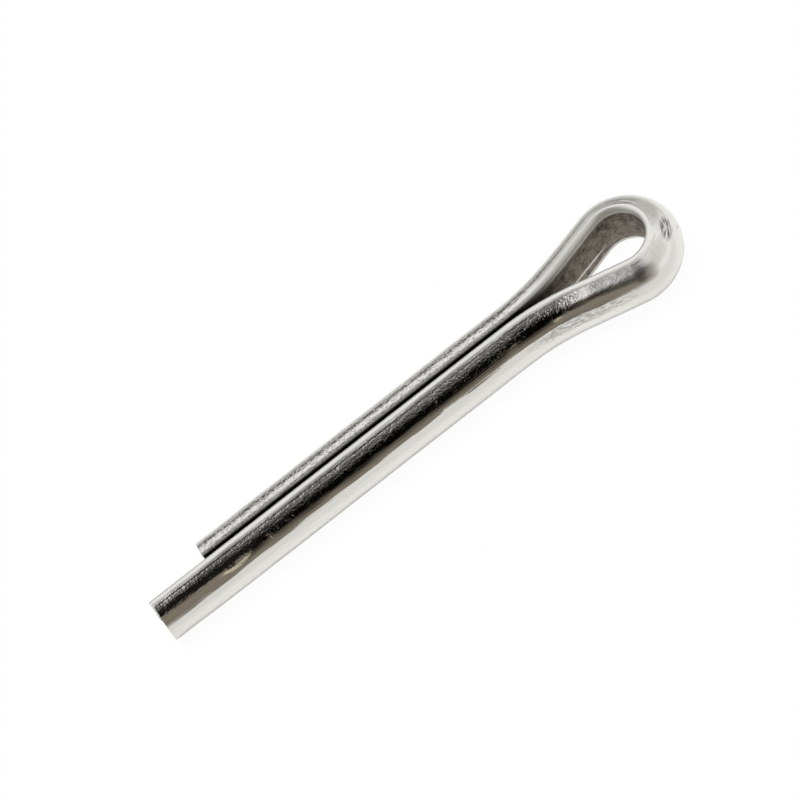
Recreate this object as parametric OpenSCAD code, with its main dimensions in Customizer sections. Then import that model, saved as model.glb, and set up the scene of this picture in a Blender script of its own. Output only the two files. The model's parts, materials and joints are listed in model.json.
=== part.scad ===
// Cotter pin: one length of half-round wire, folded back on itself.
// The two legs lie flat to flat and together make a round shank, and the fold makes the eye.
// The pin lies on its side. X runs along the shank to the free ends, Y from the short leg to
// the long leg, and Z through the eye. The origin is at the middle of the pin's underside.

/* [Shank] */
// Diameter of the closed shank, over both legs
shank_d = 2.9; // [2:0.05:4]
// Length from the centre of the eye to the free end of the short leg
leg_l = 22.62; // [16:0.02:60]
// How far the long leg reaches past the short leg
leg_step = 3.28; // [0.5:0.02:6]
// Width of the slit between the flats of the two legs
slit_w = 0.12; // [0.04:0.01:0.2]
// Radius of the edges between the flat and the round side of the wire
edge_r = 0.24; // [0.1:0.01:0.35]

/* [Eye] */
// Inside radius of the eye, to the flat of the wire
eye_r = 1.26; // [1.1:0.01:2]
// How far the eye sits off the axis of the shank, towards the long leg
eye_shift = 0.044; // [0:0.002:0.1]
// Angle at which each leg leaves the shank to form the eye
flare = 15.7; // [12:0.1:20]
// Radius of the bend at the neck, to the flat of the wire
neck_r = 12.7; // [5:0.1:13]
// How much the wire swells on every side where it is bent
bend_swell = 0.01; // [0.004:0.001:0.02]

/* [Hidden] */
$fn = 96;

// The wire is half of a round bar, cut down to its flat
bar_r = shank_d / 2;
flat_y = slit_w / 2;
wire_t = bar_r - flat_y;

// A circle in each corner of the wire's section touches both the flat and the round side
edge_z = sqrt(pow(bar_r - edge_r, 2) - pow(flat_y + edge_r, 2));
// Height of the wire's axis when the bends rest on a surface
axis_z = edge_z + edge_r + bend_swell;

// A straight limb leaves the fold here, counted from the centre of the eye
limb_x = eye_r * sin(flare);
limb_y = eye_r * cos(flare);
// How far a straight run of wire laps into the bend at its end
lap = 5 * bend_swell;

// Places of the eye and of the shank's axis, with the pin's box centred on the origin
eye_reach = eye_r + wire_t + bend_swell;
eye_x = eye_reach - (eye_reach + leg_l + leg_step) / 2;
shank_y = -eye_shift;

// Straight length of a limb, between the fold and the neck, when the eye is shifted towards it
function limb_l(shift) = (limb_y + shift - flat_y - neck_r * (1 - cos(flare))) / sin(flare);

// Section of the wire, with its flat on the Y axis and its round side towards +X.
// Its outline can be grown by the same amount on every side.
module wire_section(grow = 0) {
    round_r = bar_r + grow;
    touch = [flat_y + edge_r, edge_z] * round_r / (bar_r - edge_r) - [flat_y, 0];
    difference() {
        intersection() {
            translate([-flat_y, 0]) circle(r = round_r);
            translate([-grow, -round_r]) square([round_r, 2 * round_r]);
        }
        for (up = [-1, 1])
            scale([1, up])
                polygon([[-grow, edge_z], [edge_r, edge_z], touch,
                    [touch.x, shank_d], [-shank_d, shank_d], [-shank_d, edge_z]]);
    }
    for (up = [-1, 1])
        translate([edge_r, up * edge_z]) circle(r = edge_r + grow);
}

// Straight wire that runs along +X from the origin, with its flat facing -Y
module straight_wire(length) {
    rotate([90, 0, 90]) linear_extrude(length) wire_section();
}

// Wire bent about the Z axis, with its flat on the inside of the bend
module fold(radius, from, turn) {
    rotate_extrude(angle = turn, start = from)
        translate([radius, 0]) wire_section(bend_swell);
}

// Wire bent about the Z axis, with its flat on the outside of the bend
module counter_bend(radius, from, turn) {
    rotate_extrude(angle = turn, start = from)
        translate([radius, 0]) mirror([1, 0]) wire_section(bend_swell);
}

// One leg on the +Y side of the shank's axis, with its neck and the limb that joins it to the fold.
// Its free end is at end_x, and the eye's centre is shifted from the axis towards the leg.
module leg(end_x, shift) {
    limb = limb_l(shift);
    neck_x = eye_x + limb_x + limb * cos(flare) + neck_r * sin(flare);
    translate([eye_x + limb_x, limb_y + shift, 0]) rotate([0, 0, -flare])
        translate([-lap, 0, 0]) straight_wire(limb + 2 * lap);
    translate([neck_x, flat_y + neck_r, 0]) counter_bend(neck_r, 270 - flare, flare);
    translate([neck_x - lap, flat_y, 0]) straight_wire(end_x - neck_x + lap);
}

// The whole pin: the fold, the long leg and the short leg
module cotter_pin() {
    short_end = eye_x + leg_l;
    color("silver") translate([0, 0, axis_z]) {
        translate([eye_x, shank_y + eye_shift, 0]) fold(eye_r, 90 - flare, 180 + 2 * flare);
        translate([0, shank_y, 0]) {
            leg(short_end + leg_step, eye_shift);
            mirror([0, 1, 0]) leg(short_end, -eye_shift);
        }
    }
}

cotter_pin();
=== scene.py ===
"""Cotter pin: a length of half-round steel wire, folded back on itself.

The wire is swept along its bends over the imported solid, gets its drawn steel finish, and lies on a
white studio floor.
"""

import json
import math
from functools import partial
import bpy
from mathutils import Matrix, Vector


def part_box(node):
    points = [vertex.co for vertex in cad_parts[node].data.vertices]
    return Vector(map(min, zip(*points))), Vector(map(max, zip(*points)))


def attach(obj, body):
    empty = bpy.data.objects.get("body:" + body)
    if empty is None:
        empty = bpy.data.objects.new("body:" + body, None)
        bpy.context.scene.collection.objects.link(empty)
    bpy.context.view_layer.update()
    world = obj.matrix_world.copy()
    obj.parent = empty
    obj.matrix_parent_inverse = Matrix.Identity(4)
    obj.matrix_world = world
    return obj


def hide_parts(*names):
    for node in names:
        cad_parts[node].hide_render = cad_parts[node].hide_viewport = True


bl_info = {
    "name": "Cotter Pin",
    "version": (1, 0, 0),
    "blender": (4, 5, 0),
    "location": "3D Viewport > Sidebar > Cotter Pin",
    "description": "Sweeps the wire of a cotter pin, gives it its steel finish and sets it on a studio floor",
    "category": "Add Mesh",
}

import bpy
from bpy.props import FloatProperty, FloatVectorProperty, IntProperty, PointerProperty
from mathutils import Matrix, Vector

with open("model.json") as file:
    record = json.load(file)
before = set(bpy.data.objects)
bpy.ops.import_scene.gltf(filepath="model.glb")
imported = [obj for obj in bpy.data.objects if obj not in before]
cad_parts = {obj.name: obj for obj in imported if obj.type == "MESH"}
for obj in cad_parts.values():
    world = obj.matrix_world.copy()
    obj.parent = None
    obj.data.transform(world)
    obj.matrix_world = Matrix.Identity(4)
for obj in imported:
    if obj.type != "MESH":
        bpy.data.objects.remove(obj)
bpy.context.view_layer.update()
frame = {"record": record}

MM = 0.001
PIN_NODE = "cotter_pin"
PIN_BODY = "root"
MOUNTS = {mount["name"]: mount for mount in frame["record"]["mounts"]}
SHANK = MOUNTS["shank"]
EYE = MOUNTS["eye"]
WIRE_ATTRIBUTE = "wire_mm"
CUT_ATTRIBUTE = "cut_end"
# Kinds of nodes that are used often, and the settings of a soft fade
MATH = "ShaderNodeMath"
VECTOR_MATH = "ShaderNodeVectorMath"
MAP_RANGE = "ShaderNodeMapRange"
MIX = "ShaderNodeMix"
NOISE = "ShaderNodeTexNoise"
SEPARATE = "ShaderNodeSeparateXYZ"
STORE = "GeometryNodeStoreNamedAttribute"
NAMED = "GeometryNodeInputNamedAttribute"
SMOOTH = {"interpolation_type": "SMOOTHSTEP"}


def linear(hex_colour):
    """Linear RGBA of an sRGB colour written as #RRGGBB."""
    parts = [int(hex_colour[i:i + 2], 16) / 255 for i in (1, 3, 5)]
    return [c / 12.92 if c <= 0.04045 else ((c + 0.055) / 1.055) ** 2.4 for c in parts] + [1.0]


def add_node(tree, kind, inputs=None, output=0, **settings):
    """Adds a node, sets its properties, sets or links its inputs, and returns one of its outputs.

    The inputs and the output are given by name or index.
    """
    node = tree.nodes.new(kind)
    for name, value in settings.items():
        setattr(node, name, value)
    for key, value in (inputs or {}).items():
        if isinstance(value, bpy.types.NodeSocket):
            tree.links.new(value, node.inputs[key])
        else:
            node.inputs[key].default_value = value
    return node.outputs[output] if node.outputs else None


# Sizes and colours that a user would change, and how the panel shows each kind

LENGTH = {"precision": 6, "unit": "LENGTH", "subtype": "DISTANCE"}
COLOUR = {"size": 4, "min": 0, "max": 1, "subtype": "COLOR"}
SHARE = {"min": 0, "max": 1, "subtype": "FACTOR"}


class CotterPinWire(bpy.types.PropertyGroup):
    """Sizes of the folded wire"""

    shank_diameter: FloatProperty(
        name="Shank Diameter", description="Diameter of the closed shank, over both legs",
        default=2 * SHANK["dims"]["r_mm"] * MM, **LENGTH)
    leg_step: FloatProperty(
        name="Leg Step", description="How far the long leg reaches past the short leg",
        default=3.28 * MM, **LENGTH)
    slit_width: FloatProperty(
        name="Slit Width", description="Width of the slit between the flats of the two legs",
        default=0.12 * MM, **LENGTH)
    edge_radius: FloatProperty(
        name="Edge Radius", description="Radius between the flat and the round side of the wire",
        default=0.24 * MM, **LENGTH)
    eye_radius: FloatProperty(
        name="Eye Radius", description="Inside radius of the eye, to the flat of the wire",
        default=1.26 * MM, **LENGTH)
    flare: FloatProperty(
        name="Flare", description="Angle at which each leg leaves the shank to form the eye",
        default=math.radians(15.7), unit="ROTATION", subtype="ANGLE")
    neck_radius: FloatProperty(
        name="Neck Radius", description="Radius of the bend at the neck, to the flat of the wire",
        default=12.7 * MM, **LENGTH)
    rim: FloatProperty(
        name="Rim", description="Width of the rounded rim where the wire was cut off",
        default=0.03 * MM, **LENGTH)
    end_taper: FloatProperty(
        name="End Taper", description="How much the end of the long leg was flattened when it was cut off",
        default=0.04 * MM, **LENGTH)
    end_slant: FloatProperty(
        name="End Slant", description="How far the cut of the long leg slants back on its upper side",
        default=0.18 * MM, **LENGTH)
    land_height: FloatProperty(
        name="Land Height", description="How far the land that rolling left along each edge stands proud",
        default=0.01 * MM, **LENGTH)
    wave_depth: FloatProperty(
        name="Wave Depth", description="Depth of the long shallow waves along the drawn wire",
        default=0.03 * MM, **LENGTH)
    peel_depth: FloatProperty(
        name="Peel Depth", description="Depth of the orange peel that bending left around the eye",
        default=0.025 * MM, **LENGTH)
    eye_crown: FloatProperty(
        name="Eye Crown", description="How far the edges of the flat are rounded back inside the eye",
        default=0.12 * MM, **LENGTH)
    leg_rings: IntProperty(
        name="Leg Rings", description="Number of steps along each straight leg", default=90, min=10)
    eye_rings: IntProperty(
        name="Eye Rings", description="Number of steps along the bent part of the wire", default=310, min=60)
    flat_sides: IntProperty(
        name="Flat Sides", description="Number of steps over each half of the flat", default=8, min=2)
    edge_sides: IntProperty(
        name="Edge Sides", description="Number of steps around each edge", default=30, min=4)
    round_sides: IntProperty(
        name="Round Sides", description="Number of steps over the round side", default=104, min=12)


class CotterPinFinish(bpy.types.PropertyGroup):
    """Finish of the steel"""

    steel_colour: FloatVectorProperty(
        name="Steel", description="Colour of the clean drawn steel", default=linear("#E8E7E3"), **COLOUR)
    oxide_dark: FloatVectorProperty(
        name="Dark Oxide", description="Darkest colour on the unpolished flat of the wire",
        default=linear("#362E28"), **COLOUR)
    oxide_light: FloatVectorProperty(
        name="Light Oxide", description="Lightest colour on the unpolished flat of the wire",
        default=linear("#BDB3A7"), **COLOUR)
    # Painted shade: the slit colour is the near black that the closed slit's shade gives the facing flats,
    # painted over their oxide
    slit_painted_shade: FloatVectorProperty(
        name="Slit", description="Colour of the oxide on the flats that face each other along the slit",
        default=linear("#15110E"), **COLOUR)
    # How far that painted slit shade reaches round the edges along the slit
    slit_shade_reach: FloatProperty(
        name="Slit Oxide Reach",
        description="How far the flat's oxide reaches round the edges along the slit",
        default=0.08 * MM, **LENGTH)
    oxide_reach: FloatProperty(
        name="Oxide Reach", description="How far the flat's oxide reaches round the edges out of the slit",
        default=0.04 * MM, **LENGTH)
    dull_reach: FloatProperty(
        name="Dull Reach", description="How far the dull finish of the flat reaches round the wire's edge",
        default=0.28 * MM, **LENGTH)
    roughness: FloatProperty(
        name="Roughness", description="Roughness of the drawn round side", default=0.07, **SHARE)
    eye_roughness: FloatProperty(
        name="Eye Roughness", description="Roughness of the round side where bending stretched it",
        default=0.24, **SHARE)
    flat_roughness: FloatProperty(
        name="Flat Roughness", description="Roughness of the unpolished flat", default=0.6, **SHARE)
    grain_length: FloatProperty(
        name="Grain Length", description="Size along the wire of the fine grain that tumbling left",
        default=0.13 * MM, **LENGTH)
    grain_size: FloatProperty(
        name="Grain Size", description="Size across the wire of the fine grain that tumbling left",
        default=0.09 * MM, **LENGTH)
    grain_depth: FloatProperty(
        name="Grain Depth", description="Height of the fine grain", default=0.013 * MM, **LENGTH)
    pit_shade: FloatProperty(
        name="Pit Shade", description="How much dirt in the pits of the grain darkens the steel",
        default=0.5, **SHARE)
    crown_half_width: FloatProperty(
        name="Crown Half Width", description="Half the width of the crown that the die burnished smooth",
        default=0.96 * MM, **LENGTH)
    grain_half_width: FloatProperty(
        name="Grain Half Width", description="Distance from the wire's middle plane where the grain is full",
        default=1.2 * MM, **LENGTH)
    chatter_size: FloatProperty(
        name="Chatter Size", description="Size of the marks that the die left beside the crown",
        default=0.22 * MM, **LENGTH)
    chatter_depth: FloatProperty(
        name="Chatter Depth", description="Depth of the marks that the die left beside the crown",
        default=0.014 * MM, **LENGTH)
    streak_length: FloatProperty(
        name="Streak Length", description="Length of the lines that drawing left", default=3 * MM, **LENGTH)
    # The real lines are finer than a pixel, so they are drawn about two pixels wide
    streak_width: FloatProperty(
        name="Streak Width", description="Width of the lines that drawing left",
        default=0.08 * MM, **LENGTH)
    streak_depth: FloatProperty(
        name="Streak Depth", description="Depth of the lines that drawing left",
        default=0.004 * MM, **LENGTH)
    streak_shade: FloatProperty(
        name="Streak Shade", description="How much the lines that drawing left darken the steel",
        default=0.1, **SHARE)
    mottle_size: FloatProperty(
        name="Mottle Size", description="Size of the oxide's blotches", default=0.45 * MM, **LENGTH)


class CotterPinStage(bpy.types.PropertyGroup):
    """Floor and light of the studio"""

    floor_colour: FloatVectorProperty(
        name="Floor", description="Colour of the floor", default=linear("#FCFCFA"), **COLOUR)
    table_colour: FloatVectorProperty(
        name="Table", description="Colour of the table that the metal mirrors beyond the floor's white card",
        default=linear("#858075"), **COLOUR)
    room_colour: FloatVectorProperty(
        name="Room", description="Colour of the white room's light", default=linear("#FFFFFF"), **COLOUR)
    floor_glow: FloatProperty(
        name="Floor Glow", description="Share of plain white in what the camera sees of the floor",
        default=0.95, **SHARE)
    mirrored_glow: FloatProperty(
        name="Mirrored Glow", description="Share of plain white in what the metal mirrors of the floor",
        default=0.3, **SHARE)
    room_share: FloatProperty(
        name="Room Share", description="Share of the floor's light that comes from the room, not from above",
        default=0.3, **SHARE)


# The wire: a section and a path, each one line with three bends, swept into a mesh

def new_tree(name, sockets):
    """A geometry node tree with inputs given as (name, socket type), and the sockets that hand them on."""
    tree = bpy.data.node_groups.new(name, "GeometryNodeTree")
    for socket_name, kind in sockets:
        tree.interface.new_socket(socket_name, in_out="INPUT", socket_type=kind)
    tree.interface.new_socket("Geometry", in_out="OUTPUT", socket_type="NodeSocketGeometry")
    return tree, add_node(tree, "NodeGroupInput").node.outputs


BENDS = ("First", "Middle", "Last")
STRETCHES = range(1, 6)
STEP_MIDDLE = 0.5
# Inputs that shape one bent line, with their socket types: its bends, then how its points are spread
LINE_INPUTS = {
    "Start": "NodeSocketVector", "Heading": "NodeSocketFloat", "Lead": "NodeSocketFloat",
    **{f"{bend} Bend {size}": "NodeSocketFloat" for bend in BENDS for size in ("Radius", "Turn", "Run")},
    "Points": "NodeSocketInt",
    **{f"Stretch {i} Steps": "NodeSocketInt" for i in STRETCHES},
    **{f"Stretch {i} Length": "NodeSocketFloat" for i in STRETCHES},
}


def bent_line_tree():
    """Points along a line in the XY plane that runs straight, bends, and runs straight again.

    The points are spread over five stretches, each with its own number of even steps.
    """
    tree, given = new_tree("Line With Bends", LINE_INPUTS.items())
    add = partial(add_node, tree)
    index = add("GeometryNodeInputIndex")
    step, first = 0.0, 0
    for i in STRETCHES:
        steps = given[f"Stretch {i} Steps"]
        own = add(MATH, {0: given[f"Stretch {i} Length"], 1: steps}, operation="DIVIDE")
        reached = add(
            "FunctionNodeCompare", {2: index, 3: first}, data_type="INT", operation="GREATER_EQUAL")
        step = add(
            "GeometryNodeSwitch", {"Switch": reached, "False": step, "True": own}, input_type="FLOAT")
        first = add(MATH, {0: first, 1: steps}, operation="ADD")
    before = add("GeometryNodeAccumulateField", {"Value": step}, output="Trailing", data_type="FLOAT")
    # Each step heads the way that the line runs at the step's middle
    travelled = add(MATH, {0: step, 1: STEP_MIDDLE, 2: before}, operation="MULTIPLY_ADD")
    heading, reached = given["Heading"], given["Lead"]
    for bend in BENDS:
        turn = given[f"{bend} Bend Turn"]
        size = add(MATH, {0: turn}, operation="ABSOLUTE")
        bend_end = add(
            MATH, {0: size, 1: given[f"{bend} Bend Radius"], 2: reached}, operation="MULTIPLY_ADD")
        turned = add(
            MAP_RANGE, {"Value": travelled, "From Min": reached, "From Max": bend_end, "To Max": turn})
        heading = add(MATH, {0: heading, 1: turned}, operation="ADD")
        reached = add(MATH, {0: bend_end, 1: given[f"{bend} Bend Run"]}, operation="ADD")
    ahead = add("ShaderNodeCombineXYZ", {
        "X": add(MATH, {0: heading}, operation="COSINE"),
        "Y": add(MATH, {0: heading}, operation="SINE")})
    stride = add(VECTOR_MATH, {0: ahead, "Scale": step}, operation="SCALE")
    place = add(
        "GeometryNodeAccumulateField", {"Value": stride}, output="Trailing",
        data_type="FLOAT_VECTOR", domain="POINT")
    place = add(VECTOR_MATH, {0: place, 1: given["Start"]}, operation="ADD")
    line = add("GeometryNodeMeshLine", {"Count": given["Points"]}, mode="OFFSET")
    line = add(
        STORE, {"Geometry": line, "Name": "along", "Value": before}, data_type="FLOAT", domain="POINT")
    curve = add("GeometryNodeMeshToCurve", {"Mesh": line})
    placed = add("GeometryNodeSetPosition", {"Geometry": curve, "Position": place})
    add("NodeGroupOutput", {"Geometry": placed})
    return tree


# How the uneven round side repeats: the name of its inputs, and whether it is found only around the eye
UNEVEN = {"Wave": False, "Peel": True}
WEAR_INPUTS = {
    **{name: "NodeSocketFloat" for name in (
        "Land Width", "Land Foot", "Land Height", "Edge", "Crown Start", "Crown End", "Eye Place",
        "Eye Reach", "Eye Crown", "Wire Length", "Rim", "Taper Length", "Taper", "Slant Length", "Slant",
        "Bar Radius", "Wire Thickness", "Slant Start", "Peel Reach", "Crown Near", "Crown Far")},
    "Slant Towards": "NodeSocketVector",
    **{f"{name} Depth": "NodeSocketFloat" for name in UNEVEN},
    **{f"{name} Rate": "NodeSocketVector" for name in UNEVEN},
}
# Settings of noise whose place is already scaled to the size of its pattern
PLAIN_NOISE = {"Scale": 1.0, "Detail": 1.0}


def worn_shape(tree, swept, wire, given):
    """Moves the swept points for what rolling, bending and cutting off did to the wire."""
    add = partial(add_node, tree)
    along, out, across = add(SEPARATE, {0: wire}).node.outputs
    position = add("GeometryNodeInputPosition")
    normal = add("GeometryNodeInputNormal")
    middle, outward, ahead = [
        add(NAMED, {"Name": name}, output="Attribute", data_type="FLOAT_VECTOR")
        for name in ("middle", "outward", "ahead")]
    width = add(MATH, {0: across}, operation="ABSOLUTE")
    from_eye = add(MATH, {0: along, 1: given["Eye Place"]}, operation="SUBTRACT")
    from_eye = add(MATH, {0: from_eye}, operation="ABSOLUTE")
    bent, folded = [
        add(MAP_RANGE, {"Value": from_eye, "From Min": given[reach], "From Max": 0.0}, **SMOOTH)
        for reach in ("Eye Reach", "Peel Reach")]

    # The round side lies a step below the land along each edge, and is uneven
    sunk = add(
        MAP_RANGE,
        {"Value": out, "From Min": given["Land Width"], "From Max": given["Land Foot"],
         "To Max": given["Land Height"]}, **SMOOTH)
    curved = add(MAP_RANGE, {"Value": out, "From Max": given["Edge"]}, **SMOOTH)
    for name, only_folded in UNEVEN.items():
        place = add(VECTOR_MATH, {0: wire, 1: given[f"{name} Rate"]}, operation="MULTIPLY")
        hollow = add(NOISE, {"Vector": place, **PLAIN_NOISE})
        for factor in (given[f"{name} Depth"], curved, *([folded] if only_folded else [])):
            hollow = add(MATH, {0: hollow, 1: factor}, operation="MULTIPLY")
        sunk = add(MATH, {0: sunk, 1: hollow}, operation="ADD")
    moved = add(VECTOR_MATH, {0: normal, "Scale": sunk}, operation="SCALE")
    moved = add(VECTOR_MATH, {0: moved, "Scale": -1.0}, operation="SCALE")

    # The flat is crowned on the short leg's side of the eye, so its edges lie further back there
    crowned = add(
        MAP_RANGE, {"Value": along, "From Min": given["Crown Near"], "From Max": given["Crown Far"]},
        **SMOOTH)
    inside = add(MAP_RANGE, {"Value": out, "From Min": given["Edge"], "From Max": 0.0}, **SMOOTH)
    back = add(
        MAP_RANGE,
        {"Value": width, "From Min": given["Crown Start"], "From Max": given["Crown End"],
         "To Max": given["Eye Crown"]}, **SMOOTH)
    for factor in (bent, crowned, inside):
        back = add(MATH, {0: back, 1: factor}, operation="MULTIPLY")

    # The end of the long leg is flattened, the more the further a point stands out, and cut at a slant
    share = add(MATH, {0: out, 1: given["Wire Thickness"]}, operation="DIVIDE")
    flattened, held_back = [
        add(MAP_RANGE,
            {"Value": along, "From Max": given[f"{name} Length"], "To Min": given[name], "To Max": 0.0},
            **SMOOTH) for name in ("Taper", "Slant")]
    flattened = add(MATH, {0: flattened, 1: share}, operation="MULTIPLY")
    back = add(MATH, {0: back, 1: flattened}, operation="SUBTRACT")
    share = add(VECTOR_MATH, {0: wire, 1: given["Slant Towards"]}, output="Value", operation="DOT_PRODUCT")
    share = add(MATH, {0: share, 1: given["Slant Start"]}, operation="ADD")
    share = add(MATH, {0: share, 1: 0.0}, operation="MAXIMUM")
    held_back = add(MATH, {0: held_back, 1: share}, operation="MULTIPLY")
    for direction, amount in ((outward, back), (ahead, held_back)):
        moved = add(VECTOR_MATH, {0: direction, 1: amount, 2: moved}, operation="MULTIPLY_ADD")

    # Each cut end has a rounded rim
    left = add(MATH, {0: given["Wire Length"], 1: along}, operation="SUBTRACT")
    nearest = add(MATH, {0: along, 1: left}, operation="MINIMUM")
    rim = add(
        MAP_RANGE, {"Value": nearest, "From Max": given["Rim"], "To Min": given["Rim"], "To Max": 0.0})
    share = add(MATH, {0: rim, 1: given["Bar Radius"]}, operation="DIVIDE")
    to_middle = add(VECTOR_MATH, {0: middle, 1: position}, operation="SUBTRACT")
    moved = add(VECTOR_MATH, {0: to_middle, 1: share, 2: moved}, operation="MULTIPLY_ADD")
    return add("GeometryNodeSetPosition", {"Geometry": swept, "Offset": moved})


# The faces along the wire have four corners, and the two that close its ends have more
SIDE_CORNERS = 4


def wire_tree():
    """Sweeps the wire's section along its path, and keeps where each point lies along and across the wire."""
    sockets = [(f"{line} {name}", kind) for line in ("Path", "Section") for name, kind in LINE_INPUTS.items()]
    sockets += WEAR_INPUTS.items()
    tree, given = new_tree("Folded Wire", sockets + [("Material", "NodeSocketMaterial")])
    add = partial(add_node, tree)
    bent_line = bent_line_tree()
    path, section = [
        add("GeometryNodeGroup", {name: given[f"{line} {name}"] for name in LINE_INPUTS}, node_tree=bent_line)
        for line in ("Path", "Section")]
    position = add("GeometryNodeInputPosition")
    normal = add("GeometryNodeInputNormal")
    tangent = add("GeometryNodeInputTangent")
    path = add("GeometryNodeSetCurveNormal", {"Curve": path}, mode="Z_UP")
    section = add("GeometryNodeSetSplineCyclic", {"Geometry": section, "Cyclic": True})
    for name, value in (("middle", position), ("outward", normal), ("ahead", tangent)):
        path = add(
            STORE, {"Geometry": path, "Name": name, "Value": value},
            data_type="FLOAT_VECTOR", domain="POINT")
    section = add("GeometryNodeRemoveAttribute", {"Geometry": section, "Name": "along"})
    section = add(
        STORE, {"Geometry": section, "Name": "across", "Value": position},
        data_type="FLOAT_VECTOR", domain="POINT")
    swept = add("GeometryNodeCurveToMesh", {"Curve": path, "Profile Curve": section, "Fill Caps": True})
    across = add(NAMED, {"Name": "across"}, output="Attribute", data_type="FLOAT_VECTOR")
    across = add(SEPARATE, {0: across}).node.outputs
    along = add(NAMED, {"Name": "along"}, output="Attribute", data_type="FLOAT")
    wire = add("ShaderNodeCombineXYZ", {"X": along, "Y": across["X"], "Z": across["Y"]})
    wire_mm = add(VECTOR_MATH, {0: wire, "Scale": 1 / MM}, operation="SCALE")
    swept = add(
        STORE, {"Geometry": swept, "Name": WIRE_ATTRIBUTE, "Value": wire_mm},
        data_type="FLOAT_VECTOR", domain="POINT")
    swept = worn_shape(tree, swept, wire, given)
    corners = add("GeometryNodeInputMeshFaceNeighbors", output="Vertex Count")
    cap = add(
        "FunctionNodeCompare", {2: corners, 3: SIDE_CORNERS}, data_type="INT", operation="GREATER_THAN")
    swept = add(
        STORE, {"Geometry": swept, "Name": CUT_ATTRIBUTE, "Value": cap}, data_type="FLOAT", domain="FACE")
    swept = add(
        "GeometryNodeSetShadeSmooth", {"Geometry": swept, "Selection": cap, "Shade Smooth": False},
        domain="FACE")
    solid = add("GeometryNodeRealizeInstances", {"Geometry": swept})
    finished = add("GeometryNodeSetMaterial", {"Geometry": solid, "Material": given["Material"]})
    add("NodeGroupOutput", {"Geometry": finished})
    return tree


def line_length(line):
    """Length of a bent line: its straight runs and its arcs."""
    _, _, lead, *bends = line
    return lead + sum(
        radius * abs(turn) + run for radius, turn, run in zip(bends[0::3], bends[1::3], bends[2::3]))


def line_values(name, line, steps, lengths, closed):
    """Values of the inputs that shape one bent line, by name."""
    points = sum(steps) + (0 if closed else 1)
    return dict(zip([f"{name} {part}" for part in LINE_INPUTS], [*line, points, *steps, *lengths]))


# How far the land reaches past the rounded edge, and the width of the slope at its foot, out from the flat
LAND_FROM_EDGE = 0.14 * MM
LAND_SLOPE = 0.06 * MM
# Where the flat starts to lie back inside the eye, across from the wire's middle plane; and along the wire,
# from the middle of the fold, over what length that sets in and how far it reaches
CROWN_START = 0.45 * MM
CROWN_FADE = 1.2 * MM
EYE_REACH = 7.0 * MM
# How far the flattening and the slant of the long leg's end reach along it
TAPER_LENGTH = 4.0 * MM
SLANT_LENGTH = 1.5 * MM
# The side of the wire that the slanted cut leaves shorter, out from the flat and across it, and how far on
# the other side of the flat's middle the slant starts
SLANT_TOWARDS = Vector((0.0, 0.304, -0.952))
SLANT_START = 0.42 * MM
# Size of the waves and of the orange peel, and how far the peel reaches from the middle of the fold
WAVE_LENGTH = 1.6 * MM
WAVE_WIDTH = 0.7 * MM
PEEL_SIZE = 0.25 * MM
PEEL_REACH = 4.2 * MM
# A second narrow step behind each rim keeps its shading off the leg
RIM_STEPS = 2


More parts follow.
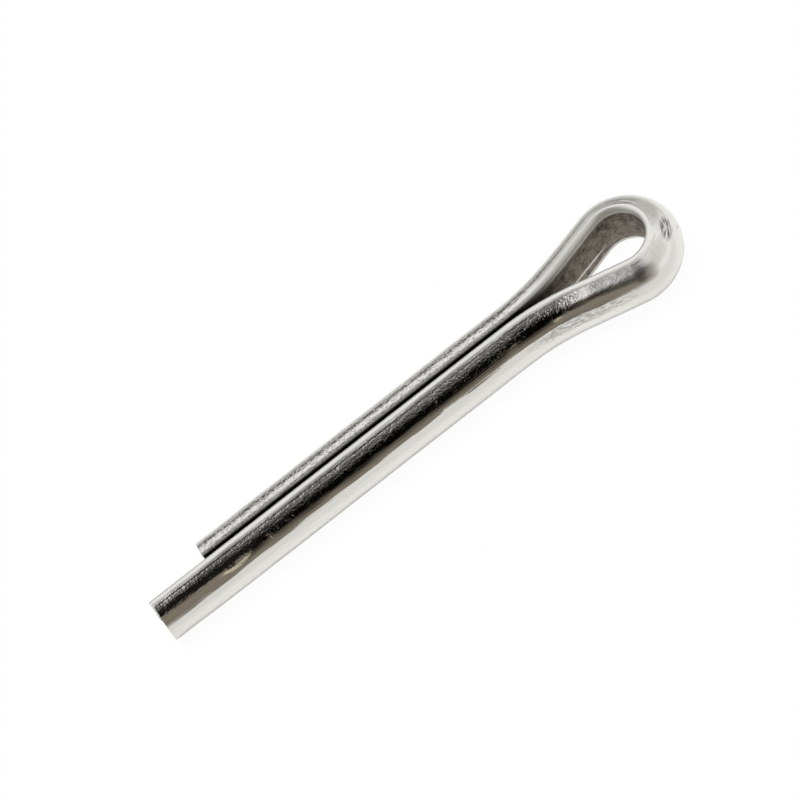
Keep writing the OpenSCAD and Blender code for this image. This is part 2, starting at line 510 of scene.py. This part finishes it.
def wire_values(wire):
    """Values of the inputs of the folded wire's tree, by name."""
    bar = wire.shank_diameter / 2
    flat = wire.slit_width / 2
    edge = wire.edge_radius
    edge_height = math.sqrt((bar - edge) ** 2 - (flat + edge) ** 2)
    touch = math.atan2(edge_height, flat + edge)
    round_edge = (edge, math.pi - touch, 0.0)
    section = [(0.0, 0.0, 0.0), -math.pi / 2, edge_height,
               *round_edge, bar, 2 * touch, 0.0, *round_edge[:2], edge_height]
    # The fine steps of an edge reach over the land to just past its foot
    over = LAND_FROM_EDGE + 2 * LAND_SLOPE
    edge_arc = edge * (math.pi - touch) + over
    section_lengths = (edge_height, edge_arc, 2 * touch * bar - 2 * over, edge_arc, edge_height)
    section_steps = (wire.flat_sides, wire.edge_sides, wire.round_sides, wire.edge_sides, wire.flat_sides)

    shank_y, axis_z = SHANK["pos_m"][1:]
    eye_x, eye_y = EYE["pos_m"][:2]
    long_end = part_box(PIN_NODE)[1].x
    ends = {1: long_end, -1: long_end - wire.leg_step}
    neck_rise = wire.neck_radius * (1 - math.cos(wire.flare))
    limbs, straights = {}, {}
    for side, end in ends.items():
        eye_rise = wire.eye_radius * math.cos(wire.flare) + side * (eye_y - shank_y)
        limbs[side] = (eye_rise - flat - neck_rise) / math.sin(wire.flare)
        neck_x = eye_x + limbs[side] * math.cos(wire.flare)
        neck_x += (wire.eye_radius + wire.neck_radius) * math.sin(wire.flare)
        straights[side] = end - neck_x
    path = [(long_end, shank_y + flat, axis_z), math.pi, straights[1],
            wire.neck_radius, -wire.flare, limbs[1],
            wire.eye_radius, math.pi + 2 * wire.flare, limbs[-1],
            wire.neck_radius, -wire.flare, straights[-1]]
    wire_length = line_length(path)
    rims = RIM_STEPS * wire.rim
    legs = [straights[side] - rims for side in (1, -1)]
    path_lengths = (rims, legs[0], wire_length - sum(straights.values()), legs[1], rims)
    path_steps = (RIM_STEPS, wire.leg_rings, wire.eye_rings, wire.leg_rings, RIM_STEPS)
    fold_start = straights[1] + wire.neck_radius * wire.flare + limbs[1]
    eye_place = fold_start + wire.eye_radius * (math.pi / 2 + wire.flare)
    land_width = edge * (1 - math.cos(math.pi - touch)) + LAND_FROM_EDGE
    return {
        **line_values("Path", path, path_steps, path_lengths, closed=False),
        **line_values("Section", section, section_steps, section_lengths, closed=True),
        "Land Width": land_width, "Land Foot": land_width + LAND_SLOPE, "Land Height": wire.land_height,
        "Wave Depth": wire.wave_depth, "Wave Rate": (1 / WAVE_LENGTH, 1 / WAVE_WIDTH, 1 / WAVE_WIDTH),
        "Peel Depth": wire.peel_depth, "Peel Rate": (1 / PEEL_SIZE, 1 / PEEL_SIZE, 1 / PEEL_SIZE),
        "Peel Reach": PEEL_REACH, "Edge": 2 * edge, "Eye Place": eye_place, "Eye Reach": EYE_REACH,
        "Crown Start": CROWN_START, "Crown End": edge_height + edge, "Eye Crown": wire.eye_crown,
        "Crown Near": eye_place - CROWN_FADE, "Crown Far": eye_place + CROWN_FADE,
        "Wire Length": wire_length, "Rim": wire.rim, "Bar Radius": bar, "Wire Thickness": bar - flat,
        "Taper Length": TAPER_LENGTH, "Taper": wire.end_taper,
        "Slant Length": SLANT_LENGTH, "Slant": wire.end_slant,
        "Slant Towards": SLANT_TOWARDS / bar, "Slant Start": SLANT_START / bar,
    }


class COTTER_OT_wire(bpy.types.Operator):
    """Sweep the folded wire and give it its steel finish"""

    bl_idname = "cotter_pin.wire"
    bl_label = "Folded Wire"

    def execute(self, context):
        wire = context.scene.cotter_pin_wire
        values = wire_values(wire)
        tree = wire_tree()
        maker = bpy.data.objects.new("wire_maker", bpy.data.meshes.new("wire_maker"))
        context.scene.collection.objects.link(maker)
        modifier = maker.modifiers.new("Folded Wire", "NODES")
        modifier.node_group = tree
        values["Material"] = bright_drawn_steel(context.scene.cotter_pin_finish)
        for item in tree.interface.items_tree:
            if item.in_out == "INPUT":
                modifier[item.identifier] = values[item.name]
        swept = maker.evaluated_get(context.evaluated_depsgraph_get())
        mesh = bpy.data.meshes.new_from_object(swept)
        if len(mesh.polygons) < (values["Path Points"] - 1) * values["Section Points"]:
            raise RuntimeError("the wire was not swept")
        bpy.data.objects.remove(maker)
        pin = bpy.data.objects.new("folded_wire", mesh)
        context.scene.collection.objects.link(pin)
        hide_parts(PIN_NODE)
        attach(pin, PIN_BODY)
        return {"FINISHED"}


# Spread of the noise over which the oxide's two colours, the drawn lines, the pits of the grain and the
# strokes of the scuffs fade; and the noise's middle
MOTTLE_RANGE = (0.32, 0.68)
LINE_RANGE = (0.3, 0.7)
PIT_RANGE = (0.3, 0.55)
STROKE_RANGE = (0.38, 0.58)
NOISE_MIDDLE = 0.5
# How much finer blotches there are in the oxide's noise, and how strong they are
MOTTLE_DETAIL = 5.0
MOTTLE_ROUGHNESS = 0.8
# How many times longer than wide the marks of the die are
CHATTER_STRETCH = 2
# Where the relief sets in and is full, in millimetres: across from the wire's middle plane, out from its
# flat, along it from its tip, and along it from the middle of the smooth stretch; and the share of it
# before that. On the short leg the land has the full relief.
CHATTER_ACROSS = (0.94, 1.08)
CROWN_RELIEF = 0.08
LAND_TO_GRAIN = (0.38, 0.48)
LAND_RELIEF = 0.12
SHORT_LAND_RELIEF = 1.0
SHORT_LEG_ALONG = (34.5, 36.5)
SMOOTH_ALONG = 27.0
EYE_TO_GRAIN = (3.0, 6.5)
EYE_RELIEF = 0.2
TIP_ALONG = (3.0, 8.0)
TIP_RELIEF = 0.5
# The middle of the eye along the wire, and how far from it the fold's satin finish starts to turn bright
# and is bright, in millimetres
EYE_ALONG = 28.02
SATIN_TO_BRIGHT = (2.3, 4.5)
# Where the flat comes out of the closed slit, in millimetres: from the middle of the eye, and from the tip
SLIT_TO_EYE = (7.5, 5.0)
SLIT_TO_TIP = (3.5, 3.2)
# Where the worn edge of the flat turns into oxide, across from the wire's middle plane; where the far limb
# starts, along the wire; and where its dull edge starts and is full, out from the flat, all in millimetres
WORN_ACROSS = (1.08, 1.0)
FAR_LIMB_ALONG = (29.0, 30.6)
FAR_EDGE_OUT = (0.72, 0.38)
# Bright scratches on the flat, in millimetres: the place across the wire, the width, and the places along the
# wire between which each fades in and fades out
SCRATCHES = ((0.53, 0.2, (30.3, 31.1), (34.6, 33.6)), (-1.1, 0.2, (28.67, 28.76), (29.04, 28.95)))
# Scuffs that the bending tool left, in millimetres: the middle along and across the wire, half the length and
# width, and the strength; the share of a scuff that is at full strength; and the size of its strokes
SCUFFS = (
    (27.4, -1.04, 0.42, 0.28, 0.85),
    (27.58, -0.44, 0.14, 0.06, 1.0),
    (22.8, -0.44, 3.4, 0.42, 0.45),
)
SCUFF_CORE = 0.5
SCUFF_STROKE = (0.3, 0.08, 0.08)


def bright_drawn_steel(finish):
    """Bright drawn and tumbled steel: a near mirror on the round side, broken up by fine grain.

    The flat of the wire was never polished, so it is rougher, darker and mottled with oxide.
    Along the closed slit the flat and its edges are painted near black, as painted shade.
    """
    material = bpy.data.materials.new("Bright drawn steel")
    material.use_nodes = True
    tree = material.node_tree
    add = partial(add_node, tree)
    shader = tree.nodes["Principled BSDF"]
    shader.inputs["Metallic"].default_value = 1.0

    # Place on the wire in millimetres: X along it, Y out from its flat, Z across the flat
    wire = add("ShaderNodeAttribute", output="Vector", attribute_name=WIRE_ATTRIBUTE)
    along, out, across = add(SEPARATE, {0: wire}).node.outputs
    width = add(MATH, {0: across}, operation="ABSOLUTE")
    distances = []
    for middle in (EYE_ALONG, SMOOTH_ALONG):
        off = add(MATH, {0: along, 1: middle}, operation="SUBTRACT")
        distances.append(add(MATH, {0: off}, operation="ABSOLUTE"))
    from_eye, from_smooth = distances

    # The die burnished the crown and the land along each edge, and bending smoothed the wire around the eye
    land_relief = add(
        MAP_RANGE,
        {"Value": along, "From Min": SHORT_LEG_ALONG[0], "From Max": SHORT_LEG_ALONG[1],
         "To Min": LAND_RELIEF, "To Max": SHORT_LAND_RELIEF})
    beside_crown, beside_marks, off_land, off_eye, off_tip = [
        add(MAP_RANGE, {"Value": value, "From Min": smooth, "From Max": rough, "To Min": least}, **SMOOTH)
        for value, smooth, rough, least in (
            (width, finish.crown_half_width / MM, finish.grain_half_width / MM, CROWN_RELIEF),
            (width, *CHATTER_ACROSS, CROWN_RELIEF),
            (out, *LAND_TO_GRAIN, land_relief),
            (from_smooth, *EYE_TO_GRAIN, EYE_RELIEF),
            (along, *TIP_ALONG, TIP_RELIEF))]
    # The sheared ends are plain
    cut = add("ShaderNodeAttribute", output="Fac", attribute_name=CUT_ATTRIBUTE)
    uncut = add(MATH, {0: 1.0, 1: cut}, operation="SUBTRACT")
    off_eye = add(MATH, {0: off_eye, 1: uncut}, operation="MULTIPLY")
    relief = 0.0
    patterns = []
    for length, size, depth, masks in (
            (finish.grain_length, finish.grain_size, finish.grain_depth,
             (beside_crown, off_land, off_eye, off_tip)),
            (CHATTER_STRETCH * finish.chatter_size, finish.chatter_size, finish.chatter_depth,
             (beside_marks, off_land, off_eye, off_tip)),
            (finish.streak_length, finish.streak_width, finish.streak_depth, (off_eye,))):
        rate = (MM / length, MM / size, MM / size)
        stretched = add(VECTOR_MATH, {0: wire, 1: rate}, operation="MULTIPLY")
        pattern = add(NOISE, {"Vector": stretched, **PLAIN_NOISE})
        height = add(MATH, {0: pattern, 1: NOISE_MIDDLE}, operation="SUBTRACT")
        for factor in (depth / MM, *masks):
            height = add(MATH, {0: height, 1: factor}, operation="MULTIPLY")
        relief = add(MATH, {0: relief, 1: height}, operation="ADD")
        patterns.append(pattern)
    grain, _, streaks = patterns

    # The pits of the grain and the drawn lines hold a little dirt
    dirt = 0.0
    for pattern, spread, shade, masks in (
            (grain, PIT_RANGE, finish.pit_shade, (beside_crown, off_land, off_eye)),
            (streaks, LINE_RANGE, finish.streak_shade, (off_eye,))):
        held = add(
            MAP_RANGE,
            {"Value": pattern, "From Min": spread[0], "From Max": spread[1], "To Min": shade, "To Max": 0.0})
        for mask in masks:
            held = add(MATH, {0: held, 1: mask}, operation="MULTIPLY")
        dirt = add(MATH, {0: dirt, 1: held}, operation="MAXIMUM")

    # The scuffs are dark strokes along the wire
    stretched = add(VECTOR_MATH, {0: wire, 1: [1 / size for size in SCUFF_STROKE]}, operation="MULTIPLY")
    strokes = add(NOISE, {"Vector": stretched, "Scale": 1.0})
    strokes = add(MAP_RANGE, {"Value": strokes, "From Min": STROKE_RANGE[0], "From Max": STROKE_RANGE[1]})
    for middle_along, middle_across, half_length, half_width, strength in SCUFFS:
        off = add(VECTOR_MATH, {0: wire, 1: (middle_along, 0.0, middle_across)}, operation="SUBTRACT")
        off = add(VECTOR_MATH, {0: off, 1: (1 / half_length, 0.0, 1 / half_width)}, operation="MULTIPLY")
        off = add(VECTOR_MATH, {0: off}, output="Value", operation="LENGTH")
        scuff = add(MAP_RANGE, {"Value": off, "From Min": 1.0, "From Max": SCUFF_CORE, "To Max": strength})
        scuff = add(MATH, {0: scuff, 1: strokes}, operation="MULTIPLY")
        dirt = add(MATH, {0: dirt, 1: scuff}, operation="MAXIMUM")

    # The oxide covers the flat, and in the closed slit the flat and its edges are painted near black as
    # painted shade; the dull finish under it reaches round the edges
    slit_shade_cover, flat, edge = [
        add(MAP_RANGE, {"Value": out, "From Max": reach / MM, "To Min": 1.0, "To Max": 0.0}, **SMOOTH)
        for reach in (finish.slit_shade_reach, finish.oxide_reach, finish.dull_reach)]
    in_eye, past_slit = [
        add(MAP_RANGE, {"Value": value, "From Min": closed, "From Max": clear})
        for value, closed, clear in ((from_eye, *SLIT_TO_EYE), (along, *SLIT_TO_TIP))]
    in_open = add(MATH, {0: in_eye, 1: past_slit}, operation="MAXIMUM")
    # Out of the slit the flat's edges are worn bare, and past the eye the dull finish reaches further round
    unworn, past_eye, far_edge = [
        add(MAP_RANGE, {"Value": value, "From Min": none, "From Max": full}, **SMOOTH)
        for value, none, full in ((width, *WORN_ACROSS), (along, *FAR_LIMB_ALONG), (out, *FAR_EDGE_OUT))]
    flat = add(MATH, {0: flat, 1: unworn}, operation="MULTIPLY")
    flat = add(MIX, {"Factor": in_open, "A": slit_shade_cover, "B": flat}, output="Result", data_type="FLOAT")
    for factor in (past_eye, in_eye):
        far_edge = add(MATH, {0: far_edge, 1: factor}, operation="MULTIPLY")
    # The sheared ends are as dull as the flat, but bare of oxide, as the scratches in it are
    dull = edge
    for other in (flat, far_edge, cut):
        dull = add(MATH, {0: dull, 1: other}, operation="MAXIMUM")
    # Each scratch fades over the outer half of its width
    bare = cut
    for middle, scratch_width, *fades in SCRATCHES:
        off = add(MATH, {0: across, 1: middle}, operation="SUBTRACT")
        off = add(MATH, {0: off}, operation="ABSOLUTE")
        scratch = add(
            MAP_RANGE, {"Value": off, "From Min": scratch_width / 2, "From Max": scratch_width / 4})
        for clear, full in fades:
            reached = add(MAP_RANGE, {"Value": along, "From Min": clear, "From Max": full})
            scratch = add(MATH, {0: scratch, 1: reached}, operation="MULTIPLY")
        bare = add(MATH, {0: bare, 1: scratch}, operation="MAXIMUM")
    mottle = add(
        NOISE,
        {"Vector": wire, "Scale": MM / finish.mottle_size, "Detail": MOTTLE_DETAIL,
         "Roughness": MOTTLE_ROUGHNESS})
    mottle = add(MAP_RANGE, {"Value": mottle, "From Min": MOTTLE_RANGE[0], "From Max": MOTTLE_RANGE[1]})

    drawn = add(
        MIX, {"Factor": dirt, "A": finish.steel_colour, "B": finish.oxide_dark},
        output="Result", data_type="RGBA")
    oxide = add(
        MIX, {"Factor": mottle, "A": finish.oxide_dark, "B": finish.oxide_light},
        output="Result", data_type="RGBA")
    # In the closed slit the oxide gives way to the painted shade of the slit
    oxide = add(
        MIX, {"Factor": in_open, "A": finish.slit_painted_shade, "B": oxide}, output="Result", data_type="RGBA")
    oxide = add(
        MIX, {"Factor": bare, "A": oxide, "B": finish.steel_colour}, output="Result", data_type="RGBA")
    colour = add(MIX, {"Factor": flat, "A": drawn, "B": oxide}, output="Result", data_type="RGBA")
    polish = add(
        MAP_RANGE,
        {"Value": from_eye, "From Min": SATIN_TO_BRIGHT[0], "From Max": SATIN_TO_BRIGHT[1],
         "To Min": finish.eye_roughness, "To Max": finish.roughness})
    roughness = add(MAP_RANGE, {"Value": dull, "To Min": polish, "To Max": finish.flat_roughness})
    bump = add("ShaderNodeBump", {"Height": relief, "Strength": 1.0, "Distance": MM})
    for name, value in (("Base Color", colour), ("Roughness", roughness), ("Normal", bump)):
        tree.links.new(value, shader.inputs[name])
    return material


# The stage: a white floor, a white room, and cards that only the metal sees. Lengths are in metres.

DOME_RADIUS = 0.6
FLOOR_REACH = 1.2
TOP_LIGHT_ANGLE = math.radians(40)
# Size of a card's faces in degrees, and the least number of them each way
CARD_STEP = 2.0
CARD_LEAST = 2
# Cards that hang nearer than the dome, and how far they are moved towards the free ends
NEAR_RADII = {"camera": 0.12, "camera_glint": 0.12, "sleeve": 0.06}
NEAR_OFFSET = 0.004
CARD_GAP = 0.0005
# Each card's lean towards the free ends and roll about the shank, from and to, in degrees, with the width
# of its soft edges in the same order, and its shade. Roll 0 is level on the camera's side, and 90 is up.
# Of cards that overlap, the later one hangs in front.
CARDS = {
    "side_window": ((-64, -12), (20, 90), (10, 12, 10, 8), "#E3E3DF"),
    "dim_room": ((-34, 60), (-14, 62), (26, 10, 10, 20), "#877F73"),
    "gap_above": ((-13, 10.5), (44, 100), (7, 4, 10, 24), "#858280"),
    "overhang": ((-16, 14), (34, 82), (10, 5, 8, 37), "#050504"),
    "overhang_side": ((8, 27), (28, 56), (3, 14, 8, 16), "#2B2724"),
    "camera": ((-12, 8.2), (3, 60), (8, 1.5, 28, 16), "#050504"),
    "camera_glint": ((7.2, 8.5), (17, 29), (0.3, 0.3, 4, 4), "#FFF6D6"),
    "sleeve": ((5.7, 30), (36, 82), (4, 6, 8, 28), "#1E1C1B"),
    "grey_wall": ((-66, -29.5), (112, 212), (8, 1, 12, 26), "#C8C8C6"),
    "far_skirting": ((-40, 40), (164, 184), (12, 12, 6, 4), "#525250"),
}


def dome_point(lean, roll, radius, offset):
    """Point of a dome in that direction."""
    level = radius * math.cos(lean)
    return (offset + radius * math.sin(lean), level * math.cos(roll), level * math.sin(roll))


def soft_card(name, lean, roll, fades, shade):
    """A piece of the dome with a soft edge, which is seen in the metal and nowhere else."""
    radius = NEAR_RADII.get(name, DOME_RADIUS) - CARD_GAP * list(CARDS).index(name)
    offset = NEAR_OFFSET if name in NEAR_RADII else 0.0
    counts = [max(CARD_LEAST, round((high - low) / CARD_STEP)) for low, high in (lean, roll)]
    leans, rolls = [
        [low + (high - low) * i / count for i in range(count + 1)]
        for (low, high), count in zip((lean, roll), counts)]
    corners = [dome_point(math.radians(a), math.radians(b), radius, offset) for b in rolls for a in leans]
    across = counts[0] + 1
    faces = [(j * across + i, j * across + i + 1, (j + 1) * across + i + 1, (j + 1) * across + i)
             for j in range(counts[1]) for i in range(counts[0])]
    mesh = bpy.data.meshes.new(name)
    mesh.from_pydata(corners, [], faces)
    places = mesh.uv_layers.new(name="degrees")
    for loop in mesh.loops:
        row, column = divmod(loop.vertex_index, across)
        places.data[loop.index].uv = (leans[column] - lean[0], rolls[row] - roll[0])
    mesh.materials.append(card_shade(name, (lean[1] - lean[0], roll[1] - roll[0]), fades, shade))
    card = bpy.data.objects.new(name, mesh)
    card.visible_camera = False
    card.visible_diffuse = False
    card.visible_transmission = False
    card.visible_shadow = False
    return card


def card_shade(name, spans, fades, shade):
    """Even shade that fades out towards the card's edges."""
    material = bpy.data.materials.new(name)
    material.use_nodes = True
    material.cycles.emission_sampling = "NONE"
    tree = material.node_tree
    add = partial(add_node, tree)
    tree.nodes.remove(tree.nodes["Principled BSDF"])
    place = add("ShaderNodeUVMap", uv_map="degrees")
    place = add(SEPARATE, {0: place}).node.outputs
    edges = (("X", 0, fades[0]), ("X", spans[0], spans[0] - fades[1]),
             ("Y", 0, fades[2]), ("Y", spans[1], spans[1] - fades[3]))
    cover = 1.0
    for axis, clear, full in edges:
        edge = add(MAP_RANGE, {"Value": place[axis], "From Min": clear, "From Max": full}, **SMOOTH)
        cover = add(MATH, {0: cover, 1: edge}, operation="MULTIPLY")
    mix = add("ShaderNodeMixShader", {
        0: cover,
        1: add("ShaderNodeBsdfTransparent"),
        2: add("ShaderNodeEmission", {"Color": linear(shade), "Strength": 1.0})})
    tree.links.new(mix, tree.nodes["Material Output"].inputs["Surface"])
    return material


# The white card ends here: the metal mirrors the dim table beyond a slanted edge
CARD_EDGE_AWAY = (0.921, 0.389, 0.0)
CARD_EDGE_NEAR = 0.0115
CARD_EDGE_FAR = 0.028
# Where the mirrored card's light starts to fall off and where it stops, across the pin, and the share lost
NEAR_FALLOFF = (0.0025, 0.005, 0.18)
FAR_FALLOFF = (-0.0038, -0.011, 0.5)


def white_card_floor(stage):
    """Matt white card: it glows white to the camera and in the metal, and still takes the soft shadow."""
    material = bpy.data.materials.new("White card floor")
    material.use_nodes = True
    tree = material.node_tree
    add = partial(add_node, tree)
    tree.nodes.remove(tree.nodes["Principled BSDF"])
    path = add("ShaderNodeLightPath").node.outputs
    seen = add(MATH, {0: path["Is Camera Ray"], 1: path["Is Transmission Ray"]}, operation="MAXIMUM")
    seen = add(MATH, {0: seen, 1: stage.floor_glow}, operation="MULTIPLY")
    glow = add(MATH, {0: path["Is Glossy Ray"], 1: stage.mirrored_glow, 2: seen}, operation="MULTIPLY_ADD")
    card = add("ShaderNodeMixShader", {
        0: glow,
        1: add("ShaderNodeBsdfDiffuse", {"Color": stage.floor_colour}),
        2: add("ShaderNodeEmission", {"Strength": 1.0})})
    place = add("ShaderNodeTexCoord", output="Object")
    away = add(VECTOR_MATH, {0: place, 1: CARD_EDGE_AWAY}, output="Value", operation="DOT_PRODUCT")
    beyond = add(
        MAP_RANGE, {"Value": away, "From Min": CARD_EDGE_NEAR, "From Max": CARD_EDGE_FAR}, **SMOOTH)
    # The card's light also falls off, a little towards the camera and more on the far side
    side = add(SEPARATE, {0: place}, output="Y")
    for lit, dimmed, share in (NEAR_FALLOFF, FAR_FALLOFF):
        dimming = add(MAP_RANGE, {"Value": side, "From Min": lit, "From Max": dimmed, "To Max": share})
        beyond = add(MATH, {0: beyond, 1: dimming}, operation="MAXIMUM")
    beyond = add(MATH, {0: beyond, 1: path["Is Glossy Ray"]}, operation="MULTIPLY")
    floor = add("ShaderNodeMixShader", {
        0: beyond,
        1: card,
        2: add("ShaderNodeEmission", {"Color": stage.table_colour, "Strength": 1.0})})
    tree.links.new(floor, tree.nodes["Material Output"].inputs["Surface"])
    return material


class COTTER_OT_stage(bpy.types.Operator):
    """Set the floor, the white room with its cards, and the camera"""

    bl_idname = "cotter_pin.stage"
    bl_label = "Studio Stage"

    def execute(self, context):
        scene = context.scene
        stage = scene.cotter_pin_stage
        scene.view_settings.view_transform = "Standard"
        scene.world = bpy.data.worlds.new("White room")
        scene.world.use_nodes = True
        world = scene.world.node_tree
        background = world.nodes["Background"]
        background.inputs["Color"].default_value = stage.room_colour
        path = add_node(world, "ShaderNodeLightPath").node.outputs
        level = add_node(
            world, MAP_RANGE,
            {"Value": path["Is Diffuse Ray"], "To Min": 1.0, "To Max": stage.room_share})
        world.links.new(level, background.inputs["Strength"])
        mesh = bpy.data.meshes.new("studio_floor")
        corners = [(x * FLOOR_REACH, y * FLOOR_REACH, 0) for x, y in ((-1, -1), (1, -1), (1, 1), (-1, 1))]
        mesh.from_pydata(corners, [], [(0, 1, 2, 3)])
        mesh.materials.append(white_card_floor(stage))
        floor = bpy.data.objects.new("studio_floor", mesh)
        for thing in (floor, *[soft_card(name, *card) for name, card in CARDS.items()]):
            scene.collection.objects.link(thing)
        place_camera(scene)
        light = bpy.data.lights.new("top_light", "SUN")
        light.angle = TOP_LIGHT_ANGLE
        light.energy = (1 - stage.room_share) * math.pi
        lamp = bpy.data.objects.new("top_light", light)
        lamp.visible_glossy = False
        scene.collection.objects.link(lamp)
        return {"FINISHED"}


# The photograph's view: the size of a pixel at the pin, the angles, the distance, and a point of the pin
# with the pixel that it falls on
PIXEL = 0.0436282 * MM
FRAME_PIXELS = 800
VIEW_TILT = math.radians(33.912)
VIEW_YAW = math.radians(-0.573)
VIEW_ROLL = math.radians(38.419)
VIEW_DISTANCE = 2941 * PIXEL
VIEW_ORIGIN = Vector((0.06116 * MM, -0.044 * MM, 1.42222 * MM))
ORIGIN_PIXEL = (413.13, 415.21)


def place_camera(scene):
    """Sets the camera at the photograph's viewing angle."""
    back = Vector((math.sin(VIEW_TILT) * math.sin(VIEW_YAW), math.sin(VIEW_TILT) * math.cos(VIEW_YAW),
                   math.cos(VIEW_TILT)))
    level = Vector((-math.cos(VIEW_YAW), math.sin(VIEW_YAW), 0))
    rise = back.cross(level)
    right = level * math.cos(VIEW_ROLL) - rise * math.sin(VIEW_ROLL)
    up = level * math.sin(VIEW_ROLL) + rise * math.cos(VIEW_ROLL)
    half = FRAME_PIXELS / 2
    aim = VIEW_ORIGIN - right * (ORIGIN_PIXEL[0] - half) * PIXEL + up * (ORIGIN_PIXEL[1] - half) * PIXEL
    camera = bpy.data.objects.new("studio_camera", bpy.data.cameras.new("studio_camera"))
    scene.collection.objects.link(camera)
    camera.data.lens = camera.data.sensor_width * VIEW_DISTANCE / (FRAME_PIXELS * PIXEL)
    camera.data.clip_start = MM
    camera.matrix_world = Matrix.Translation(aim + back * VIEW_DISTANCE) @ Matrix(
        (right, up, back)).transposed().to_4x4()
    scene.camera = camera


class COTTER_PT_panel(bpy.types.Panel):
    """The pin's sizes and the steps that make it"""

    bl_idname = "COTTER_PT_panel"
    bl_label = "Cotter Pin"
    bl_space_type = "VIEW_3D"
    bl_region_type = "UI"
    bl_category = "Cotter Pin"

    def draw(self, context):
        scene = context.scene
        for group in (scene.cotter_pin_wire, scene.cotter_pin_finish, scene.cotter_pin_stage):
            for name in type(group).__annotations__:
                self.layout.prop(group, name)
        for step in (COTTER_OT_wire, COTTER_OT_stage):
            self.layout.operator(step.bl_idname)


GROUPS = {
    "cotter_pin_wire": CotterPinWire,
    "cotter_pin_finish": CotterPinFinish,
    "cotter_pin_stage": CotterPinStage,
}
CLASSES = (*GROUPS.values(), COTTER_OT_wire, COTTER_OT_stage, COTTER_PT_panel)


def register():
    for cls in CLASSES:
        bpy.utils.register_class(cls)
    for name, group in GROUPS.items():
        setattr(bpy.types.Scene, name, PointerProperty(type=group))


def unregister():
    for name in GROUPS:
        delattr(bpy.types.Scene, name)
    for cls in reversed(CLASSES):
        bpy.utils.unregister_class(cls)


def main():
    register()
    bpy.ops.cotter_pin.wire()
    bpy.ops.cotter_pin.stage()


if __name__ == "__main__":
    main()
